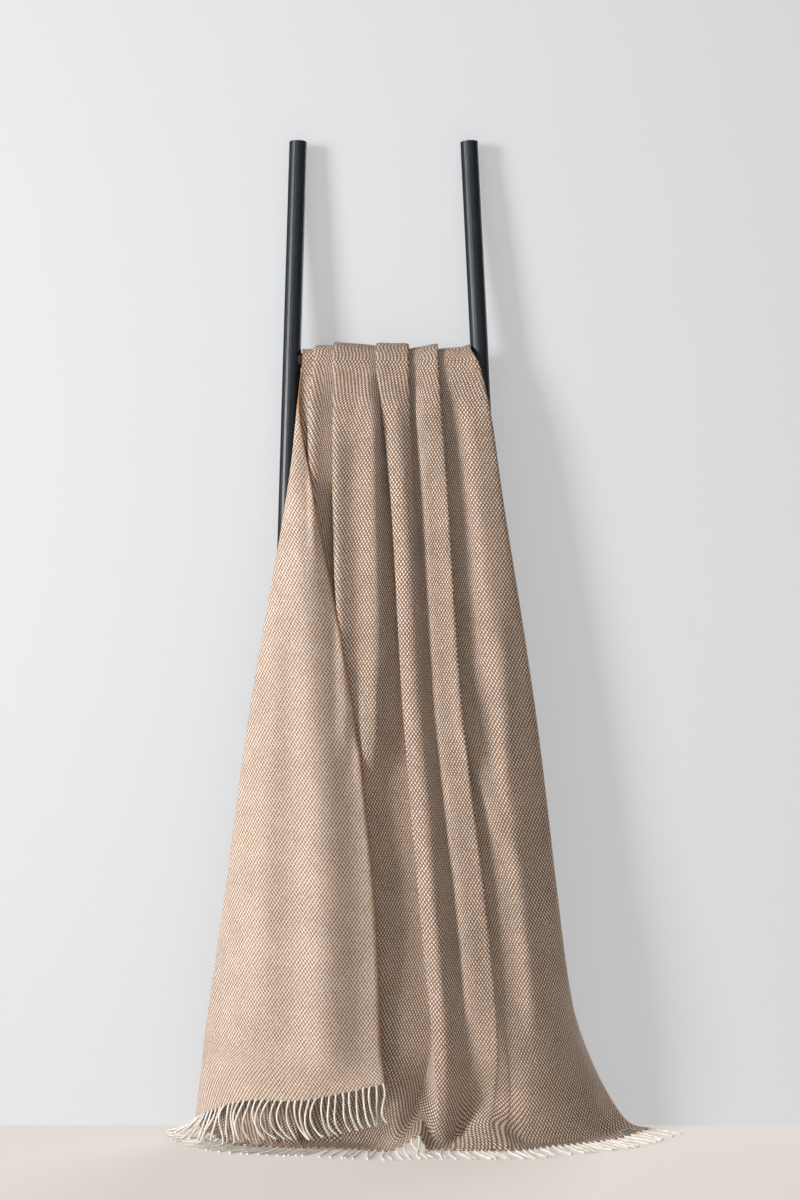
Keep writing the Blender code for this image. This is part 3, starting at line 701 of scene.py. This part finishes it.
@dataclass
class Drape:
    """The cloth's middle surface as a grid.

    Its rows run from the tail to the front hem, and its columns from the free selvage.
    """

    width: float = 1450.0
    length: float = 2000.0
    thickness: float = 2.0
    layer_gap: float = 3.4
    turn_bias: float = 0.9
    rung_ease: float = 4.0
    rung_z: float = 1600.0
    over_rung: tuple[int, ...] = (180, 135, 90, 45)
    between_rails: tuple[float, float] = (-202.0, 143.5)
    tail_drop: float = 900.0
    tail_spread: float = 1.10
    tail_looseness: float = 2.2
    tail_start: float = 0.25
    tail_samples: int = 60
    tail_rows: int = 30
    row_steps: tuple[int, ...] = (5, 3, 3, 3, 3, 8, 12, 24, 28, 22, 14, 8, 8)
    column_steps: int = 3
    turn_steps: int = 4
    easing_passes: int = 24
    easing_marks: int = 71
    floor_gap: float = 0.3
    warp_threads: int = 140
    weft_reach: float = 170.0
    grid: np.ndarray = field(init=False)
    across: np.ndarray = field(init=False)
    along: np.ndarray = field(init=False)

    def __post_init__(self) -> None:
        """Lays the cloth and cuts its tail so that each warp thread is the cloth's length."""
        whole, across = self.lay()
        behind = self.tail_samples + self.row_steps[0]
        body, hanging = whole[behind:], whole[: behind + 1][::-1]
        warps = self.warp_lengths(body, across[behind:])
        left_over = self.evened(self.length - warps[-1])
        self.crease(body)
        columns: list[np.ndarray] = []
        for c, reach in enumerate(left_over):
            at = lengths(hanging[:, c])
            wanted = np.linspace(reach, 0, self.tail_rows + 1)[:-1]
            columns.append(at_index(hanging[:, c], np.interp(wanted, at, np.arange(len(at)))))
        self.grid = np.concatenate([np.stack(columns, axis=1), body])
        tail_across = np.repeat(across[behind][None], self.tail_rows, axis=0)
        self.across = np.concatenate([tail_across, across[behind:]])
        tail_along = -left_over * np.linspace(1, 0, self.tail_rows + 1)[:-1, None]
        body_along = self.level_wefts(warps, across[behind:])
        self.along = warps[-1].mean() - np.concatenate([tail_along, body_along])

    def fold_lines(self, last: str) -> tuple[np.ndarray, list[int], list[float]]:
        """Every fold line, doubled where the cloth turns back.

        Args:
            last: "hem" for the lines from the rung to the hem, or "tip" for the fringe's below it.

        Returns:
            The lines, and the steps and tucked shares of the stretches between them.
        """
        paths = [fold.path(self.rung_ease) for fold in DRAPE]
        if last == "tip":
            paths = [(path[-1], fold.tip) for path, fold in zip(paths, DRAPE, strict=True)]
        paths = np.array(paths, float)
        lines, steps, tucked = [], [], []
        for k, fold in enumerate(DRAPE):
            steps.append(fold.steps * self.column_steps)
            tucked.append(fold.tucked)
            if not fold.turn:
                lines.append(paths[k])
                continue
            into, out_of = paths[k] - paths[k - 1], paths[k + 1] - paths[k]
            travel = unit(into) + unit(out_of) + (0, self.turn_bias * fold.turn, 0)
            travel = unit(travel) * self.layer_gap / 2
            lines += [paths[k] - travel, paths[k] + travel]
            steps[-1:] = [self.turn_steps, fold.steps * self.column_steps]
            tucked[-1:] = [0, fold.tucked]
        return np.array(lines), steps[:-1], tucked[:-1]

    def around_rung(self, front: np.ndarray) -> list[np.ndarray]:
        """The stations that carry each line up from the tail's end and over the rung."""
        reach = front[:, 1] - RUNG_OUT
        clipped = np.clip(front[:, 0], *self.between_rails)
        stations = []
        for angle in map(math.radians, self.over_rung):
            out = RUNG_OUT + reach * math.cos(angle)
            up = self.rung_z + reach * math.sin(angle)
            stations.append(np.stack([clipped, out, up], axis=1))
        middle = sum(self.between_rails) / 2
        tail = stations[0].copy()
        tail[:, 0] = middle + (tail[:, 0] - middle) * self.tail_spread
        tail[:, 1] = RUNG_OUT - reach.min() - (reach - reach.min()) * self.tail_looseness
        tail[:, 2] = self.rung_z - self.tail_drop
        start = stations[0] * (1 - self.tail_start) + tail * self.tail_start
        return [tail, start, *stations]

    def lay(self) -> tuple[np.ndarray, np.ndarray]:
        """Samples the surface, and how far across the cloth each of its points is."""
        lines, steps, tucked = self.fold_lines("hem")
        stations = self.around_rung(lines[:, 0]) + [lines[:, j] for j in range(len(STATIONS))]
        samples = (self.tail_samples, *self.row_steps)
        grid = through(through(np.array(stations), samples).transpose(1, 0, 2), steps)
        grid[..., 2] = np.maximum(grid[..., 2], self.thickness / 2 + self.floor_gap)
        gaps = np.linalg.norm(np.diff(grid, axis=0), axis=2)
        slack = gaps * np.repeat(tucked, steps)[:, None]
        gaps = gaps + slack * (self.width - gaps.sum(axis=0)) / slack.sum(axis=0)
        across = np.concatenate([np.zeros_like(gaps[:1]), np.cumsum(gaps, axis=0)])
        return grid.transpose(1, 0, 2), across.T

    def crease(self, body: np.ndarray) -> None:
        """Lifts the ridges, every layer at a place together, but not over the rung."""
        lifts = sum(crease.lift(body[..., 0], body[..., 2]) for crease in CREASES)
        started = np.clip(np.arange(len(body)) / self.row_steps[1] - 2, 0, 1)[:, None]
        body[..., 1] += lifts * started

    def warp_lengths(self, body: np.ndarray, across: np.ndarray) -> np.ndarray:
        """How far along its warp each point of the body is, from behind the rung."""
        marks = np.linspace(0, self.width, self.warp_threads)
        threads = []
        for row, distances in zip(body, across, strict=True):
            threads.append(at_index(row, np.interp(marks, distances, np.arange(len(row)))))
        found = lengths(np.array(threads))
        return np.array([np.interp(d, marks, at) for d, at in zip(across, found, strict=True)])

    def level_wefts(self, warps: np.ndarray, across: np.ndarray) -> np.ndarray:
        """The warp lengths averaged over a broad stretch of each weft, so that wefts run level."""
        marks = np.linspace(0, self.width, self.warp_threads)
        spread = np.exp(-0.5 * ((marks[:, None] - marks[None]) / self.weft_reach) ** 2)
        spread /= spread.sum(axis=1, keepdims=True)
        found = []
        for at, distances in zip(warps, across, strict=True):
            found.append(np.interp(distances, marks, spread @ np.interp(marks, distances, at)))
        return np.array(found)

    def evened(self, values: np.ndarray) -> np.ndarray:
        """The values with the steps between pleat layers eased, as a tail's loose end hangs."""
        marks = np.linspace(0, len(values) - 1, self.easing_marks)
        coarse = np.interp(marks, np.arange(len(values)), values)
        for _ in range(self.easing_passes):
            padded = np.concatenate([coarse[:1], coarse, coarse[-1:]])
            coarse = (padded[:-2] + padded[1:-1] + padded[2:]) / 3
        return np.interp(np.arange(len(values)), marks, coarse)


def grid_mesh(
    name: str, points: np.ndarray, uv: np.ndarray, material: bpy.types.Material
) -> bpy.types.Object:
    """Makes a smooth sheet of quads.

    Args:
        name: The piece's name.
        points: Its points (rows, columns, 3) in metres.
        uv: The UV map's value at each of them.
        material: Its first material.

    Returns:
        The piece, linked to the scene.
    """
    rows, columns = points.shape[:2]
    mesh = bmesh.new()
    layer = mesh.loops.layers.uv.new("cloth")
    verts = [[mesh.verts.new(point) for point in row] for row in points]
    for r in range(rows - 1):
        for c in range(columns - 1):
            around = ((r, c), (r + 1, c), (r + 1, c + 1), (r, c + 1))
            face = mesh.faces.new([verts[a][b] for a, b in around])
            face.smooth = True
            for loop, (a, b) in zip(face.loops, around, strict=True):
                loop[layer].uv = uv[a, b]
    return linked(name, mesh, material)


def linked(name: str, mesh: bmesh.types.BMesh, *materials: bpy.types.Material) -> bpy.types.Object:
    """Turns a bmesh into an object of the scene with these materials."""
    data = bpy.data.meshes.new(name)
    mesh.to_mesh(data)
    mesh.free()
    for material in materials:
        data.materials.append(material)
    obj = bpy.data.objects.new(name, data)
    bpy.context.scene.collection.objects.link(obj)
    return obj


# ------------------------------------------------------------------- the pieces


@dataclass
class Throw:
    """The throw: one woven sheet with a face, a reverse and bound selvages."""

    drape: Drape
    place: Place

    def build(self) -> bpy.types.Object:
        """Makes the sheet with its thickness."""
        uv = np.stack([self.drape.across, self.drape.along], axis=2) * MM
        obj = grid_mesh("throw_cloth", self.place.metres(self.drape.grid), uv, FACE.build())
        obj.data.materials.append(REVERSE.build())
        obj.data.materials.append(SelvageYarn().build())
        solid = obj.modifiers.new("thickness", "SOLIDIFY")
        solid.thickness = self.drape.thickness * MM
        solid.offset = 0
        solid.material_offset = 1
        solid.material_offset_rim = 2
        return obj


@dataclass(frozen=True)
class Yarn:
    """The Geometry Nodes tree that spins twisted yarn along polylines."""

    radius: float = 2.7 * MM
    waist: float = 0.72
    twist: float = 9 * MM
    rings: int = 30
    root_swell: float = 0.45
    root_length: float = 9 * MM
    plies: int = 3
    thinnest: float = 0.88
    unevenness: float = 0.25
    tip_power: float = 6.0
    tip_loss: float = 0.35
    seed: int = 7

    def inputs(self) -> dict[str, float | int]:
        """The tree's named inputs and what they are set to."""
        return {
            "Radius": self.radius,
            "Waist": self.waist,
            "Twist": self.twist,
            "Root swell": self.root_swell,
            "Root length": self.root_length,
            "Rings": self.rings,
            "Seed": self.seed,
        }

    def tree(self, material: bpy.types.Material) -> bpy.types.NodeTree:
        """Builds the tree."""
        tree = bpy.data.node_groups.new("twisted_yarn", "GeometryNodeTree")
        geometry = "NodeSocketGeometry"
        tree.interface.new_socket("Geometry", in_out="INPUT", socket_type=geometry)
        for name, value in self.inputs().items():
            kind = "NodeSocketInt" if isinstance(value, int) else "NodeSocketFloat"
            tree.interface.new_socket(name, in_out="INPUT", socket_type=kind)
        tree.interface.new_socket("Geometry", in_out="OUTPUT", socket_type=geometry)
        nodes = Nodes(tree)
        outputs = tree.nodes.new("NodeGroupInput").outputs
        given = {socket.name: Value(nodes, socket) for socket in outputs if socket.name}

        # Each strand is turned by its own chance, swells at its root and thins at its tip.
        strand = nodes.node("GeometryNodeCurveOfPoint", output="Curve Index")
        chance = nodes.node(
            "FunctionNodeRandomValue",
            {"data_type": "FLOAT"},
            {2: 0.0, 3: 1.0, "ID": strand, "Seed": given["Seed"]},
            output=1,
        )
        length = nodes.node("GeometryNodeSplineParameter", output="Length")
        factor = nodes.node("GeometryNodeSplineParameter", output="Factor")
        tilt = (length.math("DIVIDE", given["Twist"]) + chance) * TAU
        from_root = length.math("DIVIDE", given["Root length"])
        swell = (1.0 - from_root.math("MINIMUM", 1.0)) * given["Root swell"]
        thick = chance.math("MULTIPLY_ADD", self.unevenness, self.thinnest) + swell
        ragged = factor.math("POWER", self.tip_power) * self.tip_loss

        curve = nodes.node("GeometryNodeMeshToCurve", None, {"Mesh": given["Geometry"]})
        inputs = {"Curve": curve, "Count": given["Rings"]}
        curve = nodes.node("GeometryNodeResampleCurve", None, inputs)
        curve = nodes.node("GeometryNodeSetCurveTilt", None, {"Curve": curve, "Tilt": tilt})
        inputs = {"Curve": curve, "Radius": thick - ragged}
        curve = nodes.node("GeometryNodeSetCurveRadius", None, inputs)
        inputs = {
            "Points": self.plies,
            "Inner Radius": given["Radius"] * given["Waist"],
            "Outer Radius": given["Radius"],
            "Twist": 0.0,
        }
        plies = nodes.node("GeometryNodeCurveStar", None, inputs)
        inputs = {"Curve": curve, "Profile Curve": plies, "Fill Caps": True}
        spun = nodes.node("GeometryNodeCurveToMesh", None, inputs)
        smooth = nodes.node("GeometryNodeSetShadeSmooth", None, {"Geometry": spun})
        real = nodes.node("GeometryNodeRealizeInstances", None, {"Geometry": smooth})
        inputs = {"Geometry": real, "Material": material}
        dressed = nodes.node("GeometryNodeSetMaterial", None, inputs)
        nodes.feed(tree.nodes.new("NodeGroupOutput").inputs[0], dressed)
        return tree

    def spin(
        self, name: str, strands: np.ndarray, material: bpy.types.Material
    ) -> bpy.types.Object:
        """Spins yarn along strands.

        Args:
            name: The piece's name.
            strands: Polylines (strands, points, 3) in metres.
            material: The yarn's finish.

        Returns:
            One plain mesh of every strand.
        """
        mesh = bmesh.new()
        for strand in strands:
            verts = [mesh.verts.new(point) for point in strand]
            for a, b in zip(verts, verts[1:]):
                mesh.edges.new((a, b))
        guide = linked(name + "_guide", mesh)
        tree = self.tree(material)
        modifier = guide.modifiers.new("yarn", "NODES")
        modifier.node_group = tree
        values = self.inputs()
        for item in tree.interface.items_tree:
            if item.in_out == "INPUT" and item.name in values:
                modifier[item.identifier] = values[item.name]
        graph = bpy.context.evaluated_depsgraph_get()
        data = bpy.data.meshes.new_from_object(guide.evaluated_get(graph))
        data.name = name
        bpy.data.objects.remove(guide, do_unlink=True)
        obj = bpy.data.objects.new(name, data)
        bpy.context.scene.collection.objects.link(obj)
        return obj


# How the strands below the raised hem hang: at x, how far they bow aside, and how their ends curl.
HANGING_SWAY = (
    (-404, -12, -60),
    (-350, -8, -30),
    (-312, -11, 30),
    (-262, -12, 52),
    (-215, -5, 20),
    (-180, -7, 60),
    (-120, -2, 66),
    (-70, 3, 58),
    (-27, 5, 46),
)


@dataclass
class Fringe:
    """Twisted strands below the two cut ends of the throw."""

    drape: Drape
    place: Place
    count: int = 106
    length: float = 80.0
    inset: float = 1.5
    strand_points: int = 14
    floor: float = 2.3
    hanging_above: float = 30.0
    pull: float = 0.95
    fitting_passes: int = 3
    tip_stray: float = 7.0
    way_stray: float = 16.0
    curl_stray: float = 0.5
    bow_stray: float = 0.4
    wave: float = 1.5
    back_stray: tuple[float, float, float] = (4.0, 1.5, 0.0)
    back_way_stray: tuple[float, float, float] = (0.06, 0.03, 0.0)
    seed: int = 21

    def roots(
        self, edge: np.ndarray, inner: np.ndarray, across: np.ndarray
    ) -> tuple[np.ndarray, np.ndarray, np.ndarray]:
        """Where the strands start.

        Args:
            edge: The cloth's last row.
            inner: The row before it.
            across: How far across the cloth the points of the row are.

        Returns:
            Each strand's fractional column, root and way down the warp.
        """
        marks = (np.arange(self.count) + 0.5) * self.drape.width / self.count
        index = np.interp(marks, across, np.arange(len(across)))
        start = at_index(edge, index)
        way = unit(at_index(edge - inner, index))
        return index, start - way * self.inset, way

    def swing(
        self, start: np.ndarray, first: np.ndarray, tip: np.ndarray, last: np.ndarray
    ) -> np.ndarray:
        """Curves a strand from its root to its tip and lets out its whole length.

        Args:
            start: Its root.
            first: The way it leaves the cloth.
            tip: Where it ends.
            last: The way it points there.

        Returns:
            Its points.
        """
        share = np.linspace(0, 1, self.strand_points)[:, None]
        reach = tip - start
        pull = self.length * self.pull
        for _ in range(self.fitting_passes):
            curve = (
                start * (2 * share**3 - 3 * share**2 + 1)
                + first * pull * (share**3 - 2 * share**2 + share)
                + (start + reach) * (3 * share**2 - 2 * share**3)
                + last * pull * (share**3 - share**2)
            )
            reach = reach * self.length / lengths(curve)[-1]
        return curve

    def front(self) -> np.ndarray:
        """The strands of the front hem, which hang below the lapel and lie on the floor elsewhere."""
        chance = np.random.default_rng(self.seed)
        drape = self.drape
        lines, steps, _ = drape.fold_lines("tip")
        tips = through(lines, steps)[:, 1]
        index, start, way = self.roots(drape.grid[-1], drape.grid[-2], drape.across[-1])
        ends = at_index(tips, index)
        strands = []
        for root, first, tip in zip(start, way, ends, strict=True):
            stray = chance.normal(0, 1, 3)
            tip = tip + stray * (self.tip_stray, self.tip_stray, 0)
            last = unit(tip - root + stray[::-1] * (self.way_stray, self.way_stray, 0))
            hangs = root[2] > self.hanging_above
            if hangs:
                marks, bows, curls = np.array(HANGING_SWAY).T
                bow, curl = (np.interp(root[0], marks, sways) for sways in (bows, curls))
                last = unit(tip - root + (curl * (1 + self.curl_stray * stray[1]), 0, 0))
            curve = self.swing(root, first, tip, last)
            sway = chance.normal(0, self.wave, 2)
            share = np.linspace(0, 1, len(curve))
            if hangs:
                curve[:, 0] += bow * (1 + self.bow_stray * stray[2]) * np.sin(share * math.pi)
            curve[:, :2] += sway * np.sin(share * TAU)[:, None]
            curve[:, 2] = np.maximum(curve[:, 2], self.floor)
            strands.append(curve)
        return np.array(strands)

    def back(self) -> np.ndarray:
        """The strands of the tail, hanging straight down."""
        chance = np.random.default_rng(self.seed + 1)
        grid = self.drape.grid
        _, start, way = self.roots(grid[0], grid[1], self.drape.across[0])
        strands = []
        for root, first in zip(start, way, strict=True):
            stray = chance.normal(0, 1, 3) * self.back_stray
            tip = root + first * self.length + stray
            last = unit(first + stray * self.back_way_stray)
            strands.append(self.swing(root, first, tip, last))
        return np.array(strands)

    def build(self) -> tuple[bpy.types.Object, bpy.types.Object]:
        """Spins both fringes."""
        yarn, finish = Yarn(), FringeYarn().build()
        front = yarn.spin("fringe_front_strands", self.place.metres(self.front()), finish)
        back = yarn.spin("fringe_back_strands", self.place.metres(self.back()), finish)
        return front, back


@dataclass
class Label:
    """The small woven label near the right-hand front corner."""

    drape: Drape
    place: Place
    size: tuple[float, float] = (52.0, 17.0)
    thickness: float = 0.8
    gap: float = 0.6
    from_corner: tuple[float, float] = (36.0, 8.0)
    cells: tuple[int, int] = (24, 8)

    def build(self) -> bpy.types.Object:
        """Lays the label just above the cloth."""
        front = self.drape.grid[::-1]
        hem = lengths(front[0])
        across = hem[-1] - self.from_corner[0] - np.linspace(self.size[0], 0, self.cells[0] + 1)
        column = np.interp(across, hem, np.arange(len(hem)))
        warps = np.stack([at_index(row, column) for row in front])
        distances = self.from_corner[1] + np.linspace(self.size[1], 0, self.cells[1] + 1)
        patch = []
        for c in range(len(column)):
            at = lengths(warps[:, c])
            patch.append(at_index(warps[:, c], np.interp(distances, at, np.arange(len(at)))))
        patch = np.stack(patch, axis=1)
        patch[..., 2] += self.drape.thickness / 2 + self.gap + self.thickness / 2
        rows, columns = patch.shape[:2]
        uv = np.stack(np.meshgrid(np.linspace(0, 1, columns), np.linspace(1, 0, rows)), axis=2)
        obj = grid_mesh("woven_label", self.place.metres(patch), uv, WovenTape().build())
        solid = obj.modifiers.new("thickness", "SOLIDIFY")
        solid.thickness = self.thickness * MM
        solid.offset = 0
        return obj


@dataclass
class Ladder:
    """The ladder, whose turned parts keep their shape and get their paint."""

    nodes: dict[str, bpy.types.Object]
    parts: tuple[str, ...] = ("rail_left", "rail_right", "rung_1", "rung_2", "rung_3", "rung_4")

    def paint(self) -> None:
        """Paints each part."""
        paint = SatinPaint().build()
        for name in self.parts:
            for slot in self.nodes[name].material_slots:
                slot.material = paint


FLOOR = PaleGround("pale_floor", (0.52, 0.488, 0.46), glow=0.62)
WALL = PaleGround("pale_wall", (0.37, 0.377, 0.386), one_sided=True, glow=0.98)
ROOM = PaleGround("pale_room", (0.20, 0.20, 0.20), glow=3.2)


@dataclass(frozen=True)
class Softbox:
    """A rectangular soft light aimed at the middle of the throw.

    It hangs at a place in metres from the tables' zero, and its light spreads over some degrees.
    """

    name: str
    at: tuple[float, float, float]
    size: tuple[float, float]
    watts: float
    spread: float = 180.0
    aim: tuple[float, float, float] = (0.0, -0.1, 0.9)

    def hang(self, place: Place) -> None:
        """Adds the light to the scene."""
        light = bpy.data.lights.new(self.name, "AREA")
        light.shape = "RECTANGLE"
        light.size, light.size_y = self.size
        light.energy = self.watts
        light.spread = math.radians(self.spread)
        obj = bpy.data.objects.new(self.name, light)
        zero = Vector((place.x, place.y, 0))
        obj.location = Vector(self.at) + zero
        way = Vector(self.aim) + zero - obj.location
        obj.rotation_euler = way.to_track_quat("-Z", "Y").to_euler()
        bpy.context.scene.collection.objects.link(obj)


LIGHTS = (
    Softbox("window", (-4.7, -3.1, 2.2), (1.4, 2.0), 108, spread=100.0),
    Softbox("ceiling", (-0.4, -2.2, 4.0), (2.6, 2.0), 24),
    Softbox("fill", (1.6, -4.6, 0.8), (3.0, 1.4), 17),
    Softbox("behind", (1.6, 2.8, 2.2), (3.0, 2.4), 90),
)


@dataclass
class Studio:
    """The floor, the backdrop, the sides of the room, the lights and the camera."""

    place: Place
    camera_out: float = 5.04
    camera_height: float = 1.1025
    lens: float = 72.0
    sensor: float = 36.0
    floor_half: float = 9.0
    wall_height: float = 6.0
    sky: Colour = (0.95, 0.82, 0.72)
    sky_strength: float = 0.12

    def sheet(
        self,
        name: str,
        corners: Sequence[tuple[float, float, float]],
        material: bpy.types.Material,
    ) -> bpy.types.Object:
        """A flat sheet that isn't part of the object."""
        mesh = bmesh.new()
        mesh.faces.new([mesh.verts.new(corner) for corner in corners])
        obj = linked(name, mesh, material)
        return obj

    def upright(
        self,
        name: str,
        start: tuple[float, float],
        end: tuple[float, float],
        material: bpy.types.Material,
    ) -> None:
        """Stands a wall from start to end that neither shades the throw nor lights it."""
        top = self.wall_height
        wall = self.sheet(name, ((*start, 0), (*end, 0), (*end, top), (*start, top)), material)
        wall.visible_shadow = False
        wall.visible_diffuse = False
        wall.visible_glossy = False

    def enclose(self) -> None:
        """Lays the floor and stands the backdrop and the room's other three sides on it."""
        x, y, half = self.place.x, self.place.y, self.floor_half
        west, east, south, north = x - half, x + half, y - half, y + half
        floor = ((west, south, 0), (east, south, 0), (east, north, 0), (west, north, 0))
        self.sheet("floor", floor, FLOOR.build())
        self.upright("backdrop", (west, y), (east, y), WALL.build())
        corners = ((west, y), (west, south), (east, south), (east, y))
        room = ROOM.build()
        for number, (start, end) in enumerate(zip(corners, corners[1:]), 1):
            self.upright(f"room_side_{number}", start, end, room)

    def light(self) -> None:
        """Hangs the lights and tints what the open sky above adds."""
        for softbox in LIGHTS:
            softbox.hang(self.place)
        world = bpy.data.worlds.new("studio")
        world.use_nodes = True
        sky = world.node_tree.nodes["Background"].inputs
        sky["Color"].default_value = (*self.sky, 1)
        sky["Strength"].default_value = self.sky_strength
        bpy.context.scene.world = world
        bpy.context.scene.view_settings.view_transform = "Standard"

    def aim(self) -> None:
        """Makes the camera the scene's, level and square to the backdrop."""
        data = bpy.data.cameras.new("camera")
        data.lens, data.sensor_width = self.lens, self.sensor
        camera = bpy.data.objects.new("camera", data)
        camera.location = (self.place.x, self.place.y - self.camera_out, self.camera_height)
        camera.rotation_euler = (math.pi / 2, 0, 0)
        bpy.context.scene.collection.objects.link(camera)
        bpy.context.scene.camera = camera

    def build(self) -> None:
        """Sets everything up."""
        self.enclose()
        self.light()
        self.aim()


def main() -> None:
    """Builds every piece around the model's frame."""
    logging.basicConfig(level=logging.INFO, format="%(name)s: %(message)s")
    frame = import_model()
    place = Place.of_ladder()
    drape = Drape()
    throw = Throw(drape, place).build()
    front, back = Fringe(drape, place).build()
    label = Label(drape, place).build()
    pieces = (
        (throw, "throw", "lambswool"),
        (front, "fringe_front", "cream_yarn"),
        (back, "fringe_back", "cream_yarn"),
        (label, "label", "label_tape"),
    )
    for piece, node, slot in pieces:
        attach(piece, ROOT)
        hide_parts(node)
        LOG.info("%s stands for %s with %d faces", piece.name, node, len(piece.data.polygons))
    Ladder(frame["nodes"]).paint()
    Studio(place).build()
    bpy.context.view_layer.update()


if __name__ == "__main__":
    main()
